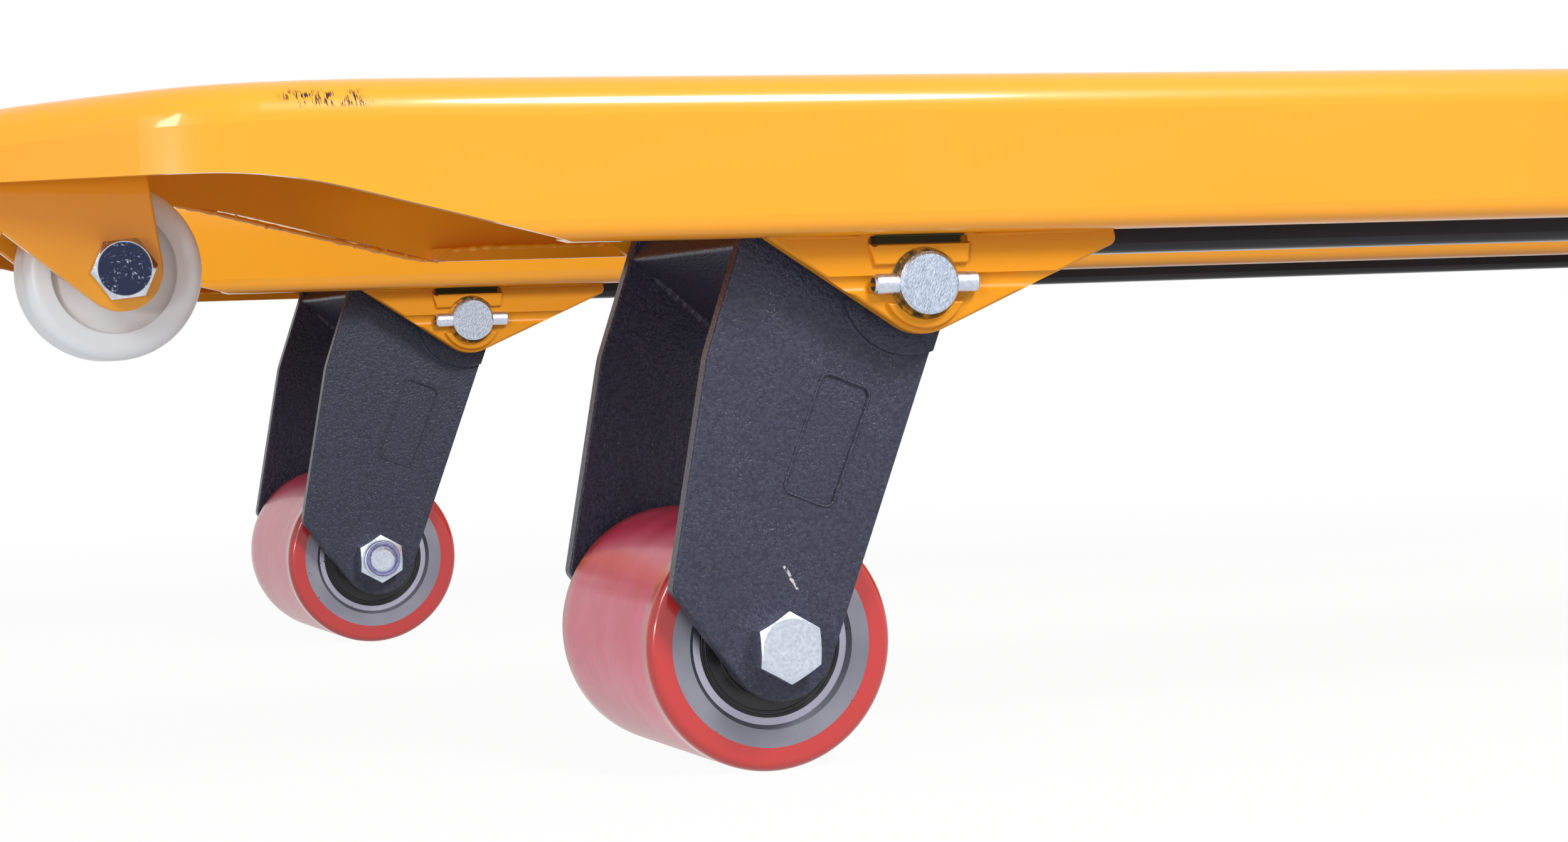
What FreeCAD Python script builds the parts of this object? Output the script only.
"""Fork frame of a pallet truck with its load legs, push rods and torsion shaft, in millimetres.

Working axes: x runs from the load-leg pivot axis towards the heel, y from the truck's middle
plane (the left fork lies on -y), z up from the pivot axis. Every shape is moved once, at the
end, so that the origin of the written files is the pump head bore in the heel's seat plate.
The frame is drawn fully raised, with its legs standing.
"""
import FreeCAD, Part
import math
import os

# ---------------------------------------------------------------- driving dimensions
OVERALL_WIDTH = 685.0            # across both forks
FORK_WIDTH = 160.0
FORK_HEIGHT = 45.5               # side wall, top face to lip
FORK_SHEET = 4.0
FORK_TOP_Z = 59.5                # fork top face above the leg pivot axis
FORK_BEND_R = 11.0               # outer radius of the bend from the top face to the walls
FORK_LIP_R = 6.0                 # outer radius of the bend from the walls to the lips
LIP_WIDTH = 11.0                 # folded lip, measured from the outer face of the wall
LIP_SETBACK = 3.0                # the lip's corner ahead of the rising edge
LOAD_LENGTH = 1150.0             # fork tip to the apron face
HEEL_LENGTH = 100.0              # fork behind the apron face
TIP_REACH = 297.0                # fork tip ahead of the leg pivot
WELD_GROOVE = 2.0                # width of the groove across the fork at the apron's foot
WELD_GROOVE_DEEP = 0.6

NOSE_HEIGHT = 25.0               # top face to the lower edge of the nose
NOSE_RISE_START = 192.0          # from the tip: the wall's lower edge leaves the lip here
NOSE_RISE_END = 112.0            # and meets the nose's lower edge here
NOSE_RISE_R = 160.0
NOSE_DROP_START = 147.0          # the top face starts to dip here
NOSE_DROP_R = 1100.0
NOSE_TAPER_START = 107.0         # the plan starts to narrow here
NOSE_TAPER_DEG = 31.0
NOSE_SHOULDER_R = 60.0
NOSE_TIP_R = 30.0

ARM_LENGTH = 110.3               # leg pivot to wheel axle
ARM_LEAN_DEG = 22.4              # from the vertical, towards the tip, leg standing
LEG_SIDE_GAP = 1.5               # pivot tube end to gusset
TUBE_STAND = 5.0                 # pivot tube past the boss
CHEEK_THICK = 6.0
CHEEK_END_R = 15.7
CHEEK_REAR_R = 13.2              # rear edge of the cheek, from the line of the two axes
CHEEK_PIVOT_R = 15.4
CHEEK_EDGE_R = 0.8
KNEE_FORWARD = 36.4              # bend in the cheek's front edge, from the pivot
KNEE_DOWN = 25.0
KNEE_R = 25.8
HEAD_FORWARD = 40.5              # front upper corner, from the pivot
HEAD_UP = 20.0
HEAD_R = 7.0
TOE_FORWARD = 28.6               # front lower corner, from the axle
TOE_UP = 18.0
TOE_R = 3.5
PANEL_LENGTH = 35.1              # empty sunk panel in each cheek's outer face
PANEL_WIDTH = 14.7
PANEL_CORNER_R = 2.2
PANEL_DEEP = 0.5
PANEL_DOWN_ARM = 50.5            # panel centre from the pivot, along the arm
PANEL_FORWARD = 7.5              # and ahead of the arm's line
PIVOT_BOSS_R = 20.5
PIVOT_BOSS_HIGH = 2.0
PIVOT_TUBE_R = 13.0
WEB_THICK = 12.5
WEB_EDGE_R = 1.5
WEB_ROOT_FORWARD = 10.0          # the sloping web's middle line, from the pivot
WEB_ROOT_DOWN = 12.0
WEB_END_FORWARD = 46.6
WEB_END_UP = 17.2

PIVOT_PIN_R = 9.0
PIVOT_PIN_STAND = 4.0            # past the gusset's pad
PIN_CHAMFER = 0.8
BUSH_WALL = 2.0
BUSH_LENGTH = 30.0
RUNNING_GAP = 0.05               # radial clearance of a turning fit
GUSSET_THICK = 4.5
GUSSET_END_R = 14.4
GUSSET_EDGE_R = 1.0
GUSSET_HEEL_REACH = 58.3
GUSSET_TIP_REACH = 52.0
GUSSET_UPSTAND = 12.0            # above the lip's lower face
GUSSET_SHOULDER = 6.0
GUSSET_TAIL_DROP = 2.2
GUSSET_TAIL_R = 2.6
GUSSET_CORNER_R = 2.0
PAD_HIGH = 1.5
PAD_RIM = 1.5                    # gusset's round end to the pad's
PAD_HEEL_REACH = 13.2
PAD_TIP_REACH = 15.6
PAD_TOP_GAP = 3.0
PAD_BORE_R = 10.2
PAD_NOTCH = 10.8                 # gap in the pad for the spring pin
PAD_CORNER_R = 1.0
PAD_EDGE_R = 0.7
SLOT_TIP_REACH = 15.0            # blind slot between the pad and the lip
SLOT_HEEL_REACH = 14.0
SLOT_HEIGHT = 2.4
SLOT_TOP_GAP = 0.6
SLOT_END_R = 1.6
SLOT_FLOOR = 1.5
SPRING_PIN_R = 3.0
SPRING_PIN_STAND = 7.0           # past the pivot pin, each side
SPRING_PIN_WALL = 1.0
SPRING_PIN_SLIT = 1.0
SPRING_PIN_CHAMFER = 0.7

WHEEL_R = 37.0
WHEEL_SIDE_GAP = 3.5             # wheel to cheek
WHEEL_EDGE_R = 3.0
HUB_R = 30.0
HUB_BORE_STEP = 3.0              # shoulder behind each bearing
HUB_CHAMFER = 1.2
BEARING_R = 23.5                 # 47 x 20 x 14 deep-groove bearing
BEARING_BORE_R = 10.0
BEARING_WIDTH = 14.0
BEARING_INSET = 1.5
BEARING_RING = 3.5               # radial thickness of each ring
BALL_R = 3.9
BALL_PLAY = 0.15
BALL_COUNT = 9
SEAL_THICK = 1.2
SEAL_INSET = 0.3
SEAL_GAP = 0.1
SEAL_STEP = 1.4                  # step in the outer ring that holds the seal
SPACER_R = 14.8                  # washer between bearing and cheek

BOLT_R = 6.0                     # M12 axle bolt
BOLT_FLATS = 18.0
BOLT_HEAD = 7.9
NUT_HEIGHT = 10.0
NUT_COLLAR = 2.5
NUT_COLLAR_SHARE = 0.45          # collar radius as a share of the flats
BOLT_END = 1.8                   # dome of the bolt past its nut
HEAD_TURN_SHARE = 0.475          # turned face of a hexagon as a share of its flats
HEAD_TURN_SLOPE = 1.7

LINK_RADIUS = 30.0               # rod pins from their turning axes
FOLD_DEG = 76.0                  # leg travel, standing to folded
LINK_PIN_R = 8.0
LINK_PIN_STAND = 4.0             # past the cheeks
LINK_PIN_CHAMFER = 1.0
EYE_R = 12.5
EYE_RIM = 1.0                    # cheek round the link pin, past the eye
NECK_LOW = 8.0                   # rod neck below and above the pin line
NECK_HIGH = 12.0
NECK_THICK = 16.0
NECK_REACH = 60.0
ROD_HEIGHT = 30.0
ROD_THICK = 18.0
ROD_CORNER_R = 3.0
PLAY = 0.4                       # side and end play between turning pieces

ROLLER_BACK = 76.9               # roller axis from the fork tip
ROLLER_DROP = 48.2               # and below the top face
ROLLER_R = 25.0
ROLLER_WIDTH = 26.0
ROLLER_EDGE_R = 4.0
ROLLER_RECESS_R = 17.5
ROLLER_RECESS = 3.0
ROLLER_HUB_R = 9.0
BRACKET_THICK = 4.0
BRACKET_GAP = 45.0               # clear width between the two bracket plates
BRACKET_END_R = 11.6
BRACKET_CORNER_R = 1.0
BRACKET_EDGE_R = 0.8
BRACKET_HEEL_REACH = 5.6         # bracket behind the roller axis, at the top
BRACKET_TIP_REACH = 35.9
BRACKET_ARCH_UP = 15.7           # notch between the two lobes, above the roller axis
BRACKET_ROOT_DROP = 10.0         # below the top face, hidden in the nose
SKID_BACK = 35.0                 # round skid lobe, from the fork tip
SKID_UP = 4.7                    # and above the roller axis
SKID_R = 6.0
SKID_FRONT_BACK = 23.0
SKID_FRONT_UP = 18.7
SKID_FRONT_R = 4.0
SKID_ROOT_BACK = 47.0
ROLLER_BOLT_R = 5.0              # M10
ROLLER_BOLT_TURN = 24.0          # how its head came to rest
ROLLER_BOLT_FLATS = 16.0
ROLLER_BOLT_HEAD = 6.4
ROLLER_NUT_HEIGHT = 8.0
ROLLER_BOLT_STAND = 2.0          # thread past the nut

SHAFT_BACK = 60.0                # torsion shaft axis behind the apron face
SHAFT_R = 13.0
SHAFT_WALL = 4.0
COLLAR_WALL = 5.0
COLLAR_WIDTH = 9.0
HANGER_THICK = 6.0
HANGER_END_R = 20.0
HANGER_HEEL_REACH = 30.0
HANGER_TIP_REACH = 50.0
HANGER_UPSTAND = 26.0            # above the lip's lower face
HANGER_SHOULDER = 8.0
HANGER_CORNER_R = 4.0
HANGER_BUSH_WALL = 2.5
ROCKER_THICK = 12.0
ROCKER_WALL = 4.0                # round the shaft
CLEVIS_THICK = 7.0
CLEVIS_ARM = 38.0                # rocker pin to the clevis bridge
CLEVIS_BRIDGE = 12.0
CLEVIS_SHANK_R = 8.0
ROCKER_PIN_STAND = 3.0
LEVER_LENGTH = 40.0
LEVER_THICK = 20.0
LEVER_BORE_R = 8.0
LEVER_WALL = 6.0

APRON_HEIGHT = 312.0             # top of the apron above the pivot axis
APRON_TOP_WIDTH = 300.0
APRON_SIDE_HEIGHT = 70.0         # straight part of its sides above the forks
APRON_DEPTH = 45.0
APRON_SHEET = 6.0
APRON_CORNER_R = 60.0
APRON_FOOT_R = 10.0
APRON_EDGE_R = 3.6
SKIRT_RAISE = 6.0                # skirt's lower edge above the lips
BRACE_THICK = 8.0
BRACE_GAP = 180.0                # clear width between the braces
BRACE_FOOT_REACH = 30.0
BRACE_FOOT_R = 8.0
BRACE_HEAD_HEIGHT = 70.0
BRACE_HEAD_R = 16.0
SEAT_THICK = 12.0
SEAT_BORE_R = 18.0
SEAT_BACK = 132.0                # bore axis behind the apron face
SEAT_EDGE = 22.0                 # plate behind the bore

# ---------------------------------------------------------------- derived places
FORK_Y = (OVERALL_WIDTH - FORK_WIDTH) / 2
HALF = FORK_WIDTH / 2
LIP_Z = FORK_TOP_Z - FORK_HEIGHT
TIP_X = -TIP_REACH
APRON_X = TIP_X + LOAD_LENGTH
HEEL_X = APRON_X + HEEL_LENGTH
NOSE_EDGE_Z = FORK_TOP_Z - NOSE_HEIGHT
NOSE_RISE_START_X = TIP_X + NOSE_RISE_START
NOSE_RISE_END_X = TIP_X + NOSE_RISE_END
NOSE_DROP_START_X = TIP_X + NOSE_DROP_START
NOSE_TAPER_X = TIP_X + NOSE_TAPER_START
LIP_EDGE = HALF - LIP_WIDTH
GUSSET_OUT = LIP_EDGE
GUSSET_IN = GUSSET_OUT - GUSSET_THICK
PAD_OUT = GUSSET_OUT + PAD_HIGH
TUBE_HALF = GUSSET_IN - LEG_SIDE_GAP
BOSS_OUT = TUBE_HALF - TUBE_STAND
CHEEK_OUT = BOSS_OUT - PIVOT_BOSS_HIGH
CHEEK_IN = CHEEK_OUT - CHEEK_THICK
WHEEL_HALF = CHEEK_IN - WHEEL_SIDE_GAP
BUSH_R = PIVOT_PIN_R + RUNNING_GAP + BUSH_WALL
LEAN = math.radians(ARM_LEAN_DEG)
AXLE_X = -ARM_LENGTH * math.sin(LEAN)
AXLE_Z = -ARM_LENGTH * math.cos(LEAN)
BEARING_Y = WHEEL_HALF - BEARING_INSET - BEARING_WIDTH / 2
BALL_PITCH_R = (BEARING_R + BEARING_BORE_R) / 2
SEAL_R = BEARING_R - BEARING_RING + SEAL_STEP
SEAL_SEAT = SEAL_INSET + SEAL_THICK
LINK_ANGLE = math.radians(FOLD_DEG / 2)
LINK_DX = -LINK_RADIUS * math.sin(LINK_ANGLE)
LINK_DZ = LINK_RADIUS * math.cos(LINK_ANGLE)
ROLLER_X = TIP_X + ROLLER_BACK
ROLLER_Z = FORK_TOP_Z - ROLLER_DROP
BRACKET_IN = BRACKET_GAP / 2
BRACKET_OUT = BRACKET_IN + BRACKET_THICK
SHAFT_X = APRON_X + SHAFT_BACK
HANGER_OUT = LIP_EDGE
HANGER_IN = HANGER_OUT - HANGER_THICK
HANGER_BORE_R = SHAFT_R + RUNNING_GAP + HANGER_BUSH_WALL
CLEVIS_IN = ROCKER_THICK / 2 + PLAY
CLEVIS_OUT = CLEVIS_IN + CLEVIS_THICK
LEVER_X = SHAFT_X - LEVER_LENGTH * math.cos(LINK_ANGLE)
LEVER_Z = -LEVER_LENGTH * math.sin(LINK_ANGLE)
SEAT_X = APRON_X + SEAT_BACK
SEAT_Z = APRON_HEIGHT - APRON_SHEET - SEAT_THICK
SEAT_END = SEAT_X + SEAT_BORE_R + SEAT_EDGE
ORIGIN = FreeCAD.Vector(SEAT_X, 0, SEAT_Z)
MARGIN = 1.0                     # how far a cut runs past the face it opens
DOWN = LIP_Z - FORK_HEIGHT       # a depth safely below the fork, for cuts


# ---------------------------------------------------------------- small helpers
def vec(x, y, z):
    return FreeCAD.Vector(x, y, z)


def flat_rims(shape):
    """Edges that lie in a plane across y, such as both outlines of a plate."""
    return [edge for edge in shape.Edges if edge.BoundBox.YLength < 0.01]


def outer_rims(shape, y):
    """The flat rims that lie at y."""
    return [edge for edge in flat_rims(shape) if abs(edge.BoundBox.YMax - y) < 0.01]


def block(x0, x1, y0, y1, z0, z1):
    return Part.makeBox(x1 - x0, y1 - y0, z1 - z0, vec(x0, y0, z0))


def rod_y(x, z, radius, y0, y1):
    return Part.makeCylinder(radius, y1 - y0, vec(x, y0, z), vec(0, 1, 0))


def ring_y(x, z, outer, inner, y0, y1):
    return rod_y(x, z, outer, y0, y1).cut(rod_y(x, z, inner, y0 - MARGIN, y1 + MARGIN))


def at_xz(a, b):
    return vec(a, 0, b)


def at_xy(a, b):
    return vec(a, b, 0)


def at_yz(a, b):
    return vec(0, a, b)


def belt(circles, place=at_xz):
    """Face inside a belt stretched round circles (a, b, radius), listed anticlockwise."""
    normals = []
    count = len(circles)
    for i in range(count):
        a1, b1, r1 = circles[i]
        a2, b2, r2 = circles[(i + 1) % count]
        span = math.hypot(a2 - a1, b2 - b1)
        da, db = (a2 - a1) / span, (b2 - b1) / span
        along = (r1 - r2) / span
        across = math.sqrt(1 - along * along)
        normals.append((da * along + db * across, db * along - da * across))
    edges = []
    for i in range(count):
        a, b, r = circles[i]
        before, after = normals[i - 1], normals[i]
        start = (a + before[0] * r, b + before[1] * r)
        end = (a + after[0] * r, b + after[1] * r)
        turn = math.atan2(after[1], after[0]) - math.atan2(before[1], before[0])
        middle = math.atan2(before[1], before[0]) + (turn % (2 * math.pi)) / 2
        top = (a + r * math.cos(middle), b + r * math.sin(middle))
        if (turn % (2 * math.pi)) > 1e-6:
            edges.append(Part.Arc(place(*start), place(*top), place(*end)).toShape())
        a2, b2, r2 = circles[(i + 1) % count]
        follow = (a2 + after[0] * r2, b2 + after[1] * r2)
        edges.append(Part.LineSegment(place(*end), place(*follow)).toShape())
    return Part.Face(Part.Wire(Part.__sortEdges__(edges)))


def plate_y(circles, y0, y1):
    """Plate with a belt outline in xz, from y0 to y1."""
    face = belt(circles)
    face.translate(vec(0, y0, 0))
    return face.extrude(vec(0, y1 - y0, 0))


def bar(x1, z1, x2, z2, thick, corner):
    """Belt circles of a straight bar between two points, thick across, with rounded corners."""
    span = math.hypot(x2 - x1, z2 - z1)
    dx, dz = (x2 - x1) / span, (z2 - z1) / span
    off = thick / 2 - corner
    ends = [(x1, z1, 1, -1), (x2, z2, -1, -1), (x2, z2, -1, 1), (x1, z1, 1, 1)]
    return [(x + along * corner * dx - across * off * dz, z + along * corner * dz + across * off * dx, corner)
            for x, z, along, across in ends]


def hexagon(x, z, flats, y0, y1):
    """Hexagonal prism along y."""
    radius = flats / math.sqrt(3)
    points = []
    for i in range(7):
        angle = math.radians(60 * i + 30)
        points.append(vec(x + radius * math.cos(angle), y0, z + radius * math.sin(angle)))
    return Part.Face(Part.makePolygon(points)).extrude(vec(0, y1 - y0, 0))


def chamfered_hexagon(x, z, flats, y0, y1):
    """Hexagonal head whose corners are turned off at the y0 side."""
    prism = hexagon(x, z, flats, y0, y1)
    high = y1 - y0
    face = flats * HEAD_TURN_SHARE
    cone = Part.makeCone(face, face + high * HEAD_TURN_SLOPE, high, vec(x, y0, z), vec(0, 1, 0))
    return prism.common(cone)


def mirrored(shape):
    return shape.mirror(vec(0, 0, 0), vec(0, 1, 0))


def both_ends(shape):
    """The shape and its mirror image about the fork's own middle plane, as separate solids."""
    return Part.makeCompound([shape, mirrored(shape)])


# ---------------------------------------------------------------- fork
def nose_half_plan(inset):
    """Half outline of the fork in plan, from the heel round to the tip, moved in by inset."""
    taper = math.radians(NOSE_TAPER_DEG)
    shoulder = NOSE_SHOULDER_R - inset
    tip_r = NOSE_TIP_R - inset
    shoulder_y = HALF - NOSE_SHOULDER_R
    shoulder_end = (NOSE_TAPER_X - shoulder * math.sin(taper), shoulder_y + shoulder * math.cos(taper))
    half_taper = taper / 2
    shoulder_mid = (NOSE_TAPER_X - shoulder * math.sin(half_taper),
                    shoulder_y + shoulder * math.cos(half_taper))
    centre_x = TIP_X + NOSE_TIP_R
    reach = (shoulder_end[0] - (centre_x - tip_r * math.sin(taper))) / math.cos(taper)
    taper_end = (shoulder_end[0] - reach * math.cos(taper), shoulder_end[1] - reach * math.sin(taper))
    centre_y = taper_end[1] - tip_r * math.cos(taper)
    mid_turn = (taper + math.pi / 2) / 2
    tip_mid = (centre_x - tip_r * math.sin(mid_turn), centre_y + tip_r * math.cos(mid_turn))
    tip_end = (centre_x - tip_r, centre_y)
    return [(NOSE_TAPER_X, HALF - inset), shoulder_mid, shoulder_end, taper_end, tip_mid, tip_end]


def fork_plan(inset, heel_x):
    """Plan face of the fork, moved in by inset all round its nose."""
    start, shoulder_mid, shoulder_end, taper_end, tip_mid, tip_end = nose_half_plan(inset)
    edges = []
    for side in (1, -1):
        def point(p):
            return vec(p[0], side * p[1], 0)
        edges.append(Part.LineSegment(vec(heel_x, side * start[1], 0), point(start)).toShape())
        edges.append(Part.Arc(point(start), point(shoulder_mid), point(shoulder_end)).toShape())
        edges.append(Part.LineSegment(point(shoulder_end), point(taper_end)).toShape())
        edges.append(Part.Arc(point(taper_end), point(tip_mid), point(tip_end)).toShape())
    edges.append(Part.LineSegment(vec(tip_end[0], tip_end[1], 0), vec(tip_end[0], -tip_end[1], 0)).toShape())
    edges.append(Part.LineSegment(vec(heel_x, start[1], 0), vec(heel_x, -start[1], 0)).toShape())
    return Part.Face(Part.Wire(Part.__sortEdges__(edges)))


def top_drop(x, lower):
    """Height of the dipping top face at x, moved down by lower."""
    run = NOSE_DROP_START_X - x
    radius = NOSE_DROP_R - lower
    return FORK_TOP_Z - NOSE_DROP_R + math.sqrt(radius * radius - run * run)


def fork_side(lower, heel_x, bottom_points):
    """Block under the fork's dipping top, moved down by lower, and closed by the bottom points."""
    far = TIP_X - MARGIN
    middle = (NOSE_DROP_START_X + far) / 2
    top = FORK_TOP_Z - lower
    side = -HALF - MARGIN
    edges = [Part.LineSegment(vec(heel_x, side, top), vec(NOSE_DROP_START_X, side, top)).toShape()]
    arc = [vec(x, side, top_drop(x, lower)) for x in (middle, far)]
    edges.append(Part.Arc(vec(NOSE_DROP_START_X, side, top), *arc).toShape())
    points = [arc[-1]] + [vec(x, side, z) for x, z in bottom_points] + [vec(heel_x, side, top)]
    for first, second in zip(points, points[1:]):
        edges.append(Part.LineSegment(first, second).toShape())
    face = Part.Face(Part.Wire(Part.__sortEdges__(edges)))
    return face.extrude(vec(0, FORK_WIDTH + 2 * MARGIN, 0))


def rim_edges(solid, inset):
    """The long edges between the top face and the walls, round a nose moved in by inset."""
    found = []
    for edge in solid.Edges:
        box = edge.BoundBox
        high = box.ZMin > (NOSE_EDGE_Z + top_drop(TIP_X, 0)) / 2 and box.XMin < HEEL_X - MARGIN
        across = box.YLength > FORK_WIDTH - 2 * inset - MARGIN and box.XLength < MARGIN
        if high and not across:
            found.append(edge)
    return found


def fork():
    """Folded channel with inturned lips and a narrowing, upswept nose."""
    bottom = [(TIP_X - MARGIN, NOSE_EDGE_Z), (NOSE_RISE_END_X, NOSE_EDGE_Z),
              (NOSE_RISE_START_X, LIP_Z), (HEEL_X, LIP_Z)]
    walls = fork_plan(0, HEEL_X).extrude(vec(0, 0, FORK_TOP_Z + FORK_HEIGHT))
    under = fork_side(0, HEEL_X, bottom)
    arch = [e for e in under.Edges if (e.CenterOfMass - vec(NOSE_RISE_END_X, 0, NOSE_EDGE_Z)).Length < MARGIN]
    outer = walls.common(under.makeFillet(NOSE_RISE_R, arch)).removeSplitter()
    outer = outer.makeFillet(FORK_BEND_R, rim_edges(outer, 0))
    long_low = [e for e in outer.Edges
                if e.BoundBox.XLength > LOAD_LENGTH / 2 and e.BoundBox.ZMax < LIP_Z + MARGIN]
    outer = outer.makeFillet(FORK_LIP_R, long_low)
    lip_x = NOSE_RISE_START_X - LIP_SETBACK
    lip_top = LIP_Z + FORK_SHEET
    end_x = HEEL_X - FORK_SHEET
    inner_bottom = [(TIP_X - MARGIN, DOWN), (lip_x, DOWN), (lip_x, lip_top), (end_x, lip_top)]
    hollow = fork_plan(FORK_SHEET, end_x).extrude(vec(0, 0, FORK_TOP_Z - DOWN))
    hollow.translate(vec(0, 0, DOWN))
    hollow = hollow.common(fork_side(FORK_SHEET, end_x, inner_bottom)).removeSplitter()
    hollow = hollow.makeFillet(FORK_BEND_R - FORK_SHEET, rim_edges(hollow, FORK_SHEET))
    mouth = block(lip_x, end_x, -LIP_EDGE, LIP_EDGE, DOWN, lip_top + MARGIN)
    groove = block(APRON_X - WELD_GROOVE, APRON_X, -FORK_WIDTH, FORK_WIDTH,
                   FORK_TOP_Z - WELD_GROOVE_DEEP, FORK_TOP_Z + MARGIN)
    return outer.cut(hollow).cut(mouth).cut(groove)


# ---------------------------------------------------------------- leg pivot
def gusset():
    """Outer gusset: welded to the lip, with a raised pad notched for the spring pin."""
    high = LIP_Z + GUSSET_UPSTAND
    outline = [(0, 0, GUSSET_END_R), (GUSSET_HEEL_REACH, LIP_Z - GUSSET_TAIL_DROP, GUSSET_TAIL_R),
               (GUSSET_HEEL_REACH - GUSSET_TAIL_DROP, high, GUSSET_CORNER_R),
               (-GUSSET_TIP_REACH, high, GUSSET_CORNER_R),
               (-GUSSET_TIP_REACH, LIP_Z + GUSSET_SHOULDER, GUSSET_CORNER_R)]
    plate = plate_y(outline, -GUSSET_OUT, -GUSSET_IN)
    plate = plate.makeFillet(GUSSET_EDGE_R, outer_rims(plate, -GUSSET_OUT))
    pad_top = LIP_Z - PAD_TOP_GAP
    pad = plate_y([(0, 0, GUSSET_END_R - PAD_RIM), (PAD_HEEL_REACH, pad_top, PAD_CORNER_R),
                   (-PAD_TIP_REACH, pad_top, PAD_CORNER_R)], -PAD_OUT, -GUSSET_OUT)
    pad = pad.cut(rod_y(0, 0, PAD_BORE_R, -PAD_OUT - MARGIN, -GUSSET_OUT))
    pad = pad.cut(block(-HALF, HALF, -PAD_OUT - MARGIN, -GUSSET_OUT, -PAD_NOTCH / 2, PAD_NOTCH / 2))
    pad = pad.makeFillet(PAD_EDGE_R, outer_rims(pad, -PAD_OUT))
    slot_z = LIP_Z - SLOT_TOP_GAP - SLOT_HEIGHT
    slot_floor = -GUSSET_IN - SLOT_FLOOR
    slot = block(-SLOT_TIP_REACH, SLOT_HEEL_REACH, -PAD_OUT - MARGIN, slot_floor,
                 slot_z, slot_z + SLOT_HEIGHT)
    relief = rod_y(-SLOT_TIP_REACH, slot_z + SLOT_HEIGHT / 2, SLOT_END_R, -PAD_OUT - MARGIN, slot_floor)
    body = plate.fuse(pad).removeSplitter().cut(slot).cut(relief)
    body = body.cut(rod_y(0, 0, PIVOT_PIN_R, -PAD_OUT - MARGIN, MARGIN - GUSSET_IN))
    groove = Part.makeCylinder(SPRING_PIN_R, FORK_WIDTH, vec(-HALF, -PAD_OUT, 0), vec(1, 0, 0))
    return body.cut(groove)


def pivot_pin():
    """Leg pivot pin, cross-drilled at both ends for its spring pins."""
    half = PAD_OUT + PIVOT_PIN_STAND
    pin = rod_y(0, 0, PIVOT_PIN_R, -half, half)
    pin = pin.makeChamfer(PIN_CHAMFER, flat_rims(pin))
    for side in (-1, 1):
        start = vec(-HALF, side * PAD_OUT, 0)
        pin = pin.cut(Part.makeCylinder(SPRING_PIN_R, FORK_WIDTH, start, vec(1, 0, 0)))
    return pin


def spring_pin(side):
    """Rolled spring pin with its slit facing the gusset."""
    half = PIVOT_PIN_R + SPRING_PIN_STAND
    pin = Part.makeCylinder(SPRING_PIN_R, 2 * half, vec(-half, side * PAD_OUT, 0), vec(1, 0, 0))
    rims = [e for e in pin.Edges if e.BoundBox.XLength < 0.01]
    pin = pin.makeChamfer(SPRING_PIN_CHAMFER, rims)
    start = vec(-HALF, side * PAD_OUT, 0)
    bore = Part.makeCylinder(SPRING_PIN_R - SPRING_PIN_WALL, FORK_WIDTH, start, vec(1, 0, 0))
    slit = block(-HALF, HALF, -SPRING_PIN_SLIT / 2, SPRING_PIN_SLIT / 2, 0, SPRING_PIN_R * 2)
    slit.rotate(vec(0, 0, 0), vec(1, 0, 0), 90 * side)
    slit.translate(vec(0, side * PAD_OUT, 0))
    return pin.cut(bore).cut(slit)


# ---------------------------------------------------------------- load leg
def cheek_outline():
    return [(AXLE_X, AXLE_Z, CHEEK_END_R), (0, 0, CHEEK_REAR_R), (LINK_DX, LINK_DZ, EYE_R + EYE_RIM),
            (-HEAD_FORWARD, HEAD_UP, HEAD_R), (-KNEE_FORWARD, -KNEE_DOWN, KNEE_R),
            (AXLE_X - TOE_FORWARD, AXLE_Z + TOE_UP, TOE_R)]


def sunk_panel():
    """Cutter for the empty panel, in line with the arm."""
    down_x, down_z = -math.sin(LEAN), -math.cos(LEAN)
    x = PANEL_DOWN_ARM * down_x - PANEL_FORWARD * math.cos(LEAN)
    z = PANEL_DOWN_ARM * down_z + PANEL_FORWARD * math.sin(LEAN)
    half = PANEL_LENGTH / 2
    ends = bar(x - half * down_x, z - half * down_z, x + half * down_x, z + half * down_z,
               PANEL_WIDTH, PANEL_CORNER_R)
    return plate_y(ends, -CHEEK_OUT - MARGIN, -CHEEK_OUT + PANEL_DEEP)


def cheek():
    """Outer cheek of the leg, with its pivot boss; the inner one is its mirror image."""
    plate = plate_y(cheek_outline(), -CHEEK_OUT, -CHEEK_IN)
    plate = plate.makeFillet(CHEEK_EDGE_R, flat_rims(plate))
    disc = rod_y(0, 0, CHEEK_PIVOT_R, -CHEEK_OUT, -CHEEK_IN)
    plate = plate.fuse(disc)
    boss = plate_y(cheek_outline(), -BOSS_OUT, -CHEEK_OUT)
    boss = boss.fuse(rod_y(0, 0, CHEEK_PIVOT_R, -BOSS_OUT, -CHEEK_OUT))
    boss = boss.common(rod_y(0, 0, PIVOT_BOSS_R, -BOSS_OUT, -CHEEK_OUT))
    body = plate.fuse(boss).removeSplitter().cut(sunk_panel())
    for x, z, radius in ((0, 0, PIVOT_TUBE_R), (AXLE_X, AXLE_Z, BOLT_R), (LINK_DX, LINK_DZ, LINK_PIN_R)):
        body = body.cut(rod_y(x, z, radius, -BOSS_OUT - MARGIN, -CHEEK_IN + MARGIN))
    return body


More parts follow.
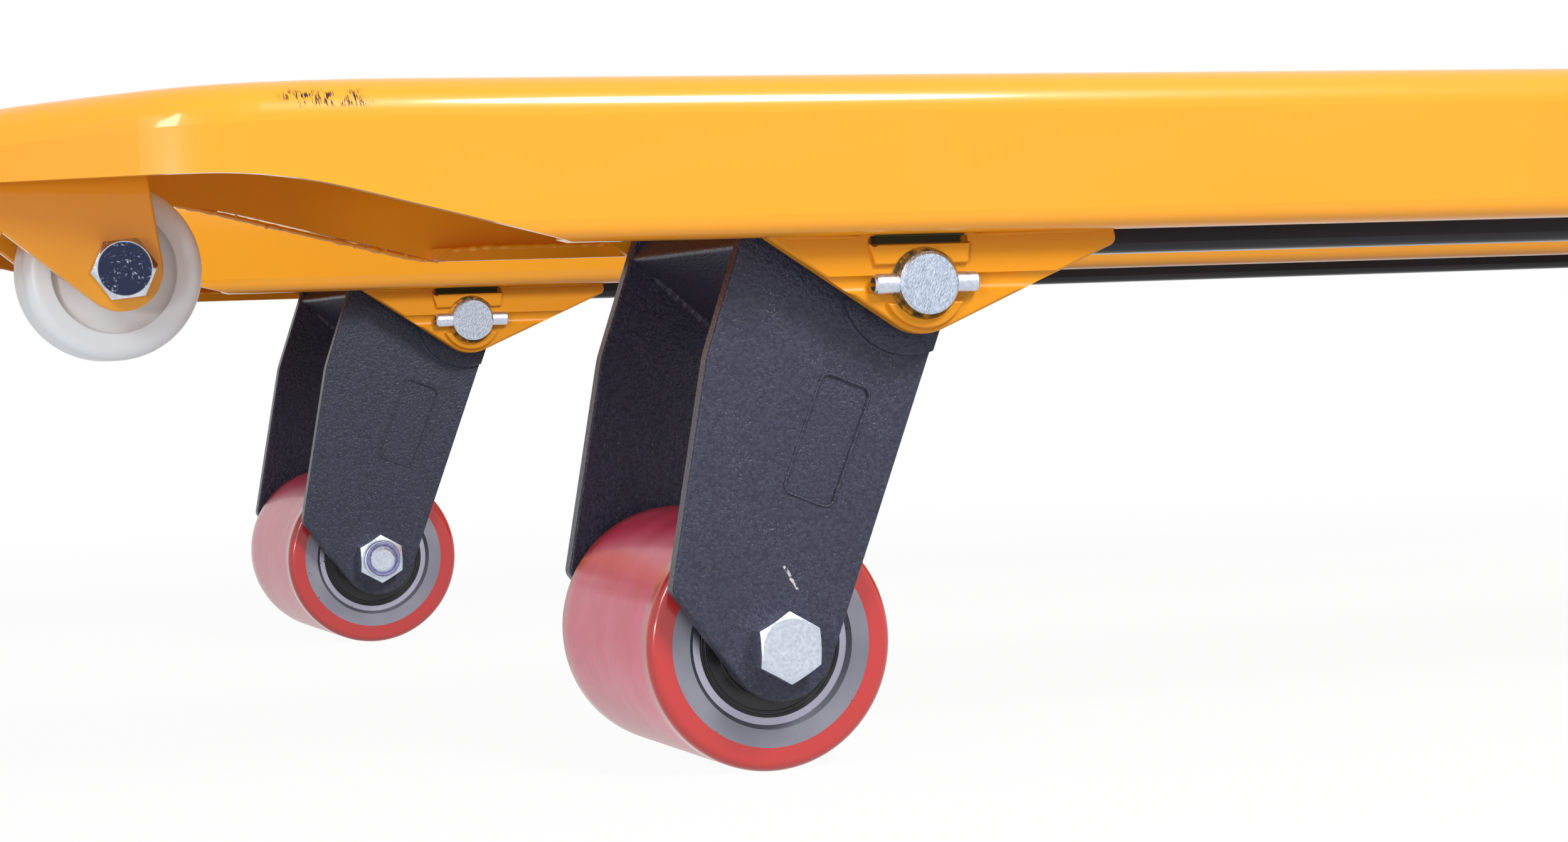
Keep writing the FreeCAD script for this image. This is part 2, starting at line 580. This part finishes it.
def leg_crosspiece():
    """Pivot tube and the sloping web that ties the two cheeks together."""
    tube = ring_y(0, 0, PIVOT_TUBE_R, BUSH_R, -TUBE_HALF, TUBE_HALF)
    outline = bar(-WEB_ROOT_FORWARD, -WEB_ROOT_DOWN, -WEB_END_FORWARD, WEB_END_UP, WEB_THICK, WEB_EDGE_R)
    web = plate_y(outline, -CHEEK_IN, CHEEK_IN)
    web = web.cut(rod_y(0, 0, (PIVOT_TUBE_R + BUSH_R) / 2, -CHEEK_IN, CHEEK_IN))
    return tube.fuse(web).removeSplitter()


def leg_bushes():
    bush = ring_y(0, 0, BUSH_R, PIVOT_PIN_R + RUNNING_GAP, -TUBE_HALF, BUSH_LENGTH - TUBE_HALF)
    return both_ends(bush)


def link_pin():
    """Pin between a leg's cheeks that carries the push rod, with its ends chamfered."""
    half = CHEEK_OUT + LINK_PIN_STAND
    pin = rod_y(LINK_DX, LINK_DZ, LINK_PIN_R, -half, half)
    return pin.makeChamfer(LINK_PIN_CHAMFER, flat_rims(pin))


def axle_bolt():
    head = chamfered_hexagon(AXLE_X, AXLE_Z, BOLT_FLATS, -CHEEK_OUT - BOLT_HEAD, -CHEEK_OUT)
    end = CHEEK_OUT + NUT_HEIGHT
    shank = rod_y(AXLE_X, AXLE_Z, BOLT_R, -CHEEK_OUT, end)
    dome = Part.makeCone(BOLT_R, BOLT_R - BOLT_END, BOLT_END, vec(AXLE_X, end, AXLE_Z), vec(0, 1, 0))
    return head.fuse([shank, dome]).removeSplitter()


def axle_nut():
    """Self-locking nut: hexagon with a round collar over its nylon ring."""
    face = -CHEEK_OUT - NUT_HEIGHT
    body = chamfered_hexagon(AXLE_X, AXLE_Z, BOLT_FLATS, face + NUT_COLLAR, -CHEEK_OUT)
    ring = rod_y(AXLE_X, AXLE_Z, BOLT_FLATS * NUT_COLLAR_SHARE, face, face + NUT_COLLAR)
    ring = ring.makeFillet(NUT_COLLAR / 2, outer_rims(ring, face))
    whole = mirrored(body.fuse(ring).removeSplitter())
    return whole.cut(rod_y(AXLE_X, AXLE_Z, BOLT_R, 0, MARGIN - face))


def axle_sleeve():
    """Sleeve through the bearings, and a spacer washer outside each of them."""
    sleeve = ring_y(AXLE_X, AXLE_Z, BEARING_BORE_R, BOLT_R, -CHEEK_IN, CHEEK_IN)
    spacer = ring_y(AXLE_X, AXLE_Z, SPACER_R, BEARING_BORE_R, -CHEEK_IN, BEARING_INSET - WHEEL_HALF)
    return Part.makeCompound([sleeve, spacer, mirrored(spacer)])


# ---------------------------------------------------------------- load wheel
def bearing_ring(outer, inner):
    """One ring of the near bearing, with its ball groove."""
    y0 = -BEARING_Y - BEARING_WIDTH / 2
    ring = ring_y(AXLE_X, AXLE_Z, outer, inner, y0, y0 + BEARING_WIDTH)
    track = Part.makeTorus(BALL_PITCH_R, BALL_R + BALL_PLAY, vec(AXLE_X, -BEARING_Y, AXLE_Z), vec(0, 1, 0))
    return ring.cut(track)


def bearing_outer():
    """Outer rings, stepped at both faces to hold the seals."""
    ring = bearing_ring(BEARING_R, BEARING_R - BEARING_RING)
    for y0 in (-BEARING_Y - BEARING_WIDTH / 2, -BEARING_Y + BEARING_WIDTH / 2 - SEAL_SEAT):
        ring = ring.cut(rod_y(AXLE_X, AXLE_Z, SEAL_R, y0, y0 + SEAL_SEAT))
    return both_ends(ring)


def bearing_inner():
    return both_ends(bearing_ring(BEARING_BORE_R + BEARING_RING, BEARING_BORE_R))


def bearing_balls():
    balls = []
    for i in range(BALL_COUNT):
        angle = 2 * math.pi * i / BALL_COUNT
        x = AXLE_X + BALL_PITCH_R * math.cos(angle)
        z = AXLE_Z + BALL_PITCH_R * math.sin(angle)
        balls.append(Part.makeSphere(BALL_R, vec(x, -BEARING_Y, z)))
    return Part.makeCompound(balls + [mirrored(ball) for ball in balls])


def bearing_seals():
    """A rubber seal in each face of each bearing, held by the outer ring."""
    seals = []
    inner = BEARING_BORE_R + BEARING_RING + SEAL_GAP
    for start in (SEAL_INSET, BEARING_WIDTH - SEAL_INSET - SEAL_THICK):
        y0 = -BEARING_Y - BEARING_WIDTH / 2 + start
        seals.append(ring_y(AXLE_X, AXLE_Z, SEAL_R, inner, y0, y0 + SEAL_THICK))
    return Part.makeCompound(seals + [mirrored(seal) for seal in seals])


def wheel_tyre():
    tyre = rod_y(AXLE_X, AXLE_Z, WHEEL_R, -WHEEL_HALF, WHEEL_HALF)
    tyre = tyre.makeFillet(WHEEL_EDGE_R, flat_rims(tyre))
    return tyre.cut(rod_y(AXLE_X, AXLE_Z, HUB_R, -WHEEL_HALF - MARGIN, WHEEL_HALF + MARGIN))


def wheel_hub():
    """Steel hub, counterbored at both ends for its bearings."""
    hub = ring_y(AXLE_X, AXLE_Z, HUB_R, BEARING_R - HUB_BORE_STEP, -WHEEL_HALF, WHEEL_HALF)
    seat = BEARING_WIDTH + BEARING_INSET
    for side in (-1, 1):
        y0, y1 = sorted((side * WHEEL_HALF, side * (WHEEL_HALF - seat)))
        hub = hub.cut(rod_y(AXLE_X, AXLE_Z, BEARING_R, y0, y1))
        cone = Part.makeCone(BEARING_R + HUB_CHAMFER, BEARING_R, HUB_CHAMFER,
                             vec(AXLE_X, side * WHEEL_HALF, AXLE_Z), vec(0, -side, 0))
        hub = hub.cut(cone)
    return hub


# ---------------------------------------------------------------- push rod
def rod_front_eye():
    """Wide eye on the leg's link pin, with a slim neck that clears the pivot tube."""
    half = CHEEK_IN - PLAY
    eye = rod_y(LINK_DX, LINK_DZ, EYE_R, -half, half)
    neck = block(LINK_DX, LINK_DX + NECK_REACH, -NECK_THICK / 2, NECK_THICK / 2,
                 LINK_DZ - NECK_LOW, LINK_DZ + NECK_HIGH)
    body = eye.fuse(neck).removeSplitter()
    return body.cut(rod_y(LINK_DX, LINK_DZ, LINK_PIN_R + RUNNING_GAP, -half - MARGIN, half + MARGIN))


def push_rod():
    """Solid bar between the two end fittings, with its long edges rounded."""
    x0 = LINK_DX + NECK_REACH
    x1 = SHAFT_X + LINK_DX - NECK_REACH
    rod = block(x0, x1, -ROD_THICK / 2, ROD_THICK / 2, LINK_DZ - ROD_HEIGHT / 2, LINK_DZ + ROD_HEIGHT / 2)
    return rod.makeFillet(ROD_CORNER_R, [e for e in rod.Edges if e.BoundBox.XLength > ROD_HEIGHT])


def rod_rear_clevis():
    """Forked end that straddles the rocker, on a short shank welded to the rod."""
    pin_x = SHAFT_X + LINK_DX
    low, high = LINK_DZ - NECK_LOW, LINK_DZ + NECK_HIGH
    root_x = pin_x - CLEVIS_ARM
    rod_x = pin_x - NECK_REACH
    arm = rod_y(pin_x, LINK_DZ, EYE_R, -CLEVIS_OUT, -CLEVIS_IN)
    arm = arm.fuse(block(root_x, pin_x, -CLEVIS_OUT, -CLEVIS_IN, low, high))
    bridge = block(root_x - CLEVIS_BRIDGE, root_x, -CLEVIS_OUT, CLEVIS_OUT, low, high)
    shank = Part.makeCylinder(CLEVIS_SHANK_R, root_x - CLEVIS_BRIDGE - rod_x,
                              vec(rod_x, 0, (low + high) / 2), vec(1, 0, 0))
    body = bridge.fuse([arm, mirrored(arm), shank]).removeSplitter()
    return body.cut(rod_y(pin_x, LINK_DZ, LINK_PIN_R + PLAY, -CLEVIS_OUT - MARGIN, CLEVIS_OUT + MARGIN))


# ---------------------------------------------------------------- entry roller
def entry_roller():
    half = ROLLER_WIDTH / 2
    roller = rod_y(ROLLER_X, ROLLER_Z, ROLLER_R, -half, half)
    roller = roller.makeFillet(ROLLER_EDGE_R, flat_rims(roller))
    for side in (-1, 1):
        y0, y1 = sorted((side * (half + MARGIN), side * (half - ROLLER_RECESS)))
        roller = roller.cut(rod_y(ROLLER_X, ROLLER_Z, ROLLER_RECESS_R, y0, y1))
    hub_half = BRACKET_IN - PLAY
    hub = rod_y(ROLLER_X, ROLLER_Z, ROLLER_HUB_R, -hub_half, hub_half)
    whole = roller.fuse(hub).removeSplitter()
    return whole.cut(rod_y(ROLLER_X, ROLLER_Z, ROLLER_BOLT_R + RUNNING_GAP, -HALF, HALF))


def roller_bracket():
    """The two plates under the nose: a round lobe for the roller and a skid lobe ahead of it."""
    top = FORK_TOP_Z - BRACKET_ROOT_DROP
    arch = ROLLER_Z + BRACKET_ARCH_UP
    corner = BRACKET_CORNER_R
    rear = plate_y([(ROLLER_X, ROLLER_Z, BRACKET_END_R), (ROLLER_X + BRACKET_HEEL_REACH, top, corner),
                    (ROLLER_X - BRACKET_TIP_REACH, top, corner),
                    (ROLLER_X - BRACKET_TIP_REACH, arch, corner)],
                   -BRACKET_OUT, -BRACKET_IN)
    front = plate_y([(TIP_X + SKID_BACK, ROLLER_Z + SKID_UP, SKID_R), (TIP_X + SKID_ROOT_BACK, arch, corner),
                     (TIP_X + SKID_ROOT_BACK, top, corner), (TIP_X + SKID_FRONT_BACK, top, corner),
                     (TIP_X + SKID_FRONT_BACK, ROLLER_Z + SKID_FRONT_UP, SKID_FRONT_R)],
                    -BRACKET_OUT, -BRACKET_IN)
    rear = rear.makeFillet(BRACKET_EDGE_R, flat_rims(rear))
    front = front.makeFillet(BRACKET_EDGE_R, flat_rims(front))
    under_top = fork_side(FORK_SHEET, HEEL_X, [(TIP_X - MARGIN, DOWN), (HEEL_X, DOWN)])
    plate = rear.fuse(front).removeSplitter().common(under_top)
    hole = rod_y(ROLLER_X, ROLLER_Z, ROLLER_BOLT_R, -HALF, HALF)
    return both_ends(plate.cut(hole))


def roller_bolt():
    head = chamfered_hexagon(ROLLER_X, ROLLER_Z, ROLLER_BOLT_FLATS,
                             -BRACKET_OUT - ROLLER_BOLT_HEAD, -BRACKET_OUT)
    head.rotate(vec(ROLLER_X, 0, ROLLER_Z), vec(0, 1, 0), ROLLER_BOLT_TURN)
    end = BRACKET_OUT + ROLLER_NUT_HEIGHT + ROLLER_BOLT_STAND
    shank = rod_y(ROLLER_X, ROLLER_Z, ROLLER_BOLT_R, -BRACKET_OUT, end)
    return head.fuse(shank).removeSplitter()


def roller_nut():
    nut = mirrored(chamfered_hexagon(ROLLER_X, ROLLER_Z, ROLLER_BOLT_FLATS,
                                     -BRACKET_OUT - ROLLER_NUT_HEIGHT, -BRACKET_OUT))
    return nut.cut(rod_y(ROLLER_X, ROLLER_Z, ROLLER_BOLT_R, 0, HALF))


# ---------------------------------------------------------------- torsion shaft
def hanger():
    """Plate under the fork's heel that carries the torsion shaft."""
    heel, tip = SHAFT_X + HANGER_HEEL_REACH, SHAFT_X - HANGER_TIP_REACH
    low, high = LIP_Z + HANGER_SHOULDER, LIP_Z + HANGER_UPSTAND
    corner = HANGER_CORNER_R
    plate = plate_y([(SHAFT_X, 0, HANGER_END_R), (heel, low, corner), (heel, high, corner),
                     (tip, high, corner), (tip, low, corner)], -HANGER_OUT, -HANGER_IN)
    return both_ends(plate.cut(rod_y(SHAFT_X, 0, HANGER_BORE_R, -HALF, 0)))


def hanger_bushes():
    return both_ends(ring_y(SHAFT_X, 0, HANGER_BORE_R, SHAFT_R + RUNNING_GAP, -HANGER_OUT, -HANGER_IN))


def torsion_shaft():
    """Cross tube from one fork's outer hanger to the other's."""
    half = FORK_Y + HANGER_OUT
    return ring_y(SHAFT_X, 0, SHAFT_R, SHAFT_R - SHAFT_WALL, -half, half)


def shaft_collars():
    """Set collars inside the outer hangers, which keep the shaft from sliding endways."""
    outer_end = FORK_Y + HANGER_IN - PLAY
    collar = ring_y(SHAFT_X, 0, SHAFT_R + COLLAR_WALL, SHAFT_R, -outer_end, -outer_end + COLLAR_WIDTH)
    return Part.makeCompound([collar, mirrored(collar)])


def rocker():
    """Arm on the torsion shaft that pushes the rod."""
    arm = plate_y([(SHAFT_X, 0, SHAFT_R + ROCKER_WALL), (SHAFT_X + LINK_DX, LINK_DZ, EYE_R)],
                  -ROCKER_THICK / 2, ROCKER_THICK / 2)
    arm = arm.cut(rod_y(SHAFT_X, 0, SHAFT_R, -HALF, HALF))
    return arm.cut(rod_y(SHAFT_X + LINK_DX, LINK_DZ, LINK_PIN_R, -HALF, HALF))


def rocker_pin():
    half = CLEVIS_OUT + ROCKER_PIN_STAND
    pin = rod_y(SHAFT_X + LINK_DX, LINK_DZ, LINK_PIN_R, -half, half)
    return pin.makeChamfer(LINK_PIN_CHAMFER, flat_rims(pin))


def lift_lever():
    """Lever in the middle of the shaft that the lifting unit's link drives."""
    arm = plate_y([(LEVER_X, LEVER_Z, LEVER_BORE_R + LEVER_WALL), (SHAFT_X, 0, SHAFT_R + LEVER_WALL)],
                  -LEVER_THICK / 2, LEVER_THICK / 2)
    arm = arm.cut(rod_y(SHAFT_X, 0, SHAFT_R, -HALF, HALF))
    return arm.cut(rod_y(LEVER_X, LEVER_Z, LEVER_BORE_R, -HALF, HALF))


# ---------------------------------------------------------------- heel
def apron_outline(inset):
    """Apron outline seen from the tip, moved in by inset."""
    wide = OVERALL_WIDTH / 2 - inset
    narrow = APRON_TOP_WIDTH / 2 - inset
    low = FORK_TOP_Z + inset
    knee = FORK_TOP_Z + APRON_SIDE_HEIGHT
    high = APRON_HEIGHT - inset
    corner = APRON_CORNER_R - inset
    foot = APRON_FOOT_R - inset
    return [(-wide + foot, low + foot, foot), (wide - foot, low + foot, foot),
            (wide - corner, knee, corner), (narrow - corner / 2, high - corner / 2, corner / 2),
            (-narrow + corner / 2, high - corner / 2, corner / 2), (-wide + corner, knee, corner)]


def pan(circles, x0, x1):
    face = belt(circles, at_yz)
    face.translate(vec(x0, 0, 0))
    return face.extrude(vec(x1 - x0, 0, 0))


def heel_apron():
    """Pressed pan across both forks: load face to the tip, flanges to the heel."""
    outer = pan(apron_outline(0), APRON_X, APRON_X + APRON_DEPTH)
    inner = pan(apron_outline(APRON_SHEET), APRON_X + APRON_SHEET, APRON_X + APRON_DEPTH + MARGIN)
    front = [e for e in outer.Edges if e.BoundBox.XMax < APRON_X + 0.01]
    return outer.makeFillet(APRON_EDGE_R, front).cut(inner)


def heel_skirt():
    """Plate that closes the gap between the forks below the apron."""
    half = FORK_Y - HALF
    return block(APRON_X, APRON_X + APRON_SHEET, -half, half, LIP_Z + SKIRT_RAISE, FORK_TOP_Z)


def heel_braces():
    """Two ribs from the apron that carry the pump seat."""
    x0 = APRON_X + APRON_SHEET
    low = FORK_TOP_Z + APRON_SHEET
    high = APRON_HEIGHT - APRON_SHEET
    foot, head, corner = BRACE_FOOT_R, BRACE_HEAD_R, BRACKET_CORNER_R
    rib = plate_y([(x0 + corner, low + corner, corner), (x0 + BRACE_FOOT_REACH, low + foot, foot),
                   (SEAT_END - head, high - BRACE_HEAD_HEIGHT, head),
                   (SEAT_END - corner, high - corner, corner), (x0 + corner, high - corner, corner)],
                  -BRACE_GAP / 2 - BRACE_THICK, -BRACE_GAP / 2)
    return both_ends(rib)


def pump_seat():
    """Thick plate between the braces that the pump's ram lifts against."""
    x0 = APRON_X + APRON_SHEET
    half = BRACE_GAP / 2
    seat = block(x0, SEAT_END, -half, half, SEAT_Z, SEAT_Z + SEAT_THICK)
    low = vec(SEAT_X, 0, SEAT_Z - MARGIN)
    return seat.cut(Part.makeCylinder(SEAT_BORE_R, 2 * SEAT_THICK, low, vec(0, 0, 1)))


# ---------------------------------------------------------------- writing
def write(name, shape):
    placed = shape.copy()
    placed.translate(-ORIGIN)
    if not placed.isValid():
        print("not valid:", name)
    placed.exportStep("parts/" + name + ".step")
    print(f"{name:28s} {len(placed.Solids):3d} solids  {placed.Volume / 1000:9.2f} cm3")


def write_pair(name, shape):
    """Writes the left fork's piece and its mirror image for the right fork."""
    left = shape.copy()
    left.translate(vec(0, -FORK_Y, 0))
    write("left_" + name, left)
    write("right_" + name, mirrored(left))


def write_shared(name, shape):
    """Writes one file that holds the piece of both forks."""
    left = shape.copy()
    left.translate(vec(0, -FORK_Y, 0))
    write(name, Part.makeCompound([left, mirrored(left)]))


def main():
    os.makedirs("parts", exist_ok=True)
    write_pair("fork", fork())
    outer_gusset = gusset()
    write_pair("outer_gusset", outer_gusset)
    write_pair("inner_gusset", mirrored(outer_gusset))
    write_pair("pivot_pin", pivot_pin())
    write_shared("spring_pins", Part.makeCompound([spring_pin(-1), spring_pin(1)]))
    outer_cheek = cheek()
    write_pair("outer_cheek", outer_cheek)
    write_pair("inner_cheek", mirrored(outer_cheek))
    for name, make in (("leg_crosspiece", leg_crosspiece), ("leg_bushes", leg_bushes),
                       ("axle_bolt", axle_bolt), ("axle_nut", axle_nut), ("axle_sleeve", axle_sleeve),
                       ("bearing_inner_rings", bearing_inner), ("bearing_outer_rings", bearing_outer),
                       ("bearing_balls", bearing_balls), ("bearing_seals", bearing_seals),
                       ("wheel_tyre", wheel_tyre), ("wheel_hub", wheel_hub),
                       ("rod_front_eye", rod_front_eye), ("push_rod", push_rod), ("link_pin", link_pin),
                       ("rod_rear_clevis", rod_rear_clevis), ("entry_roller", entry_roller),
                       ("roller_bracket", roller_bracket), ("rocker", rocker)):
        write_pair(name, make())
    write_shared("roller_bolts", Part.makeCompound([roller_bolt(), roller_nut()]))
    write_shared("shaft_hangers", hanger())
    write_shared("hanger_bushes", hanger_bushes())
    write_shared("rocker_pins", rocker_pin())
    for name, make in (("torsion_shaft", torsion_shaft), ("shaft_collars", shaft_collars),
                       ("lift_lever", lift_lever), ("heel_apron", heel_apron), ("heel_skirt", heel_skirt),
                       ("heel_braces", heel_braces), ("pump_seat", pump_seat)):
        write(name, make())


main()
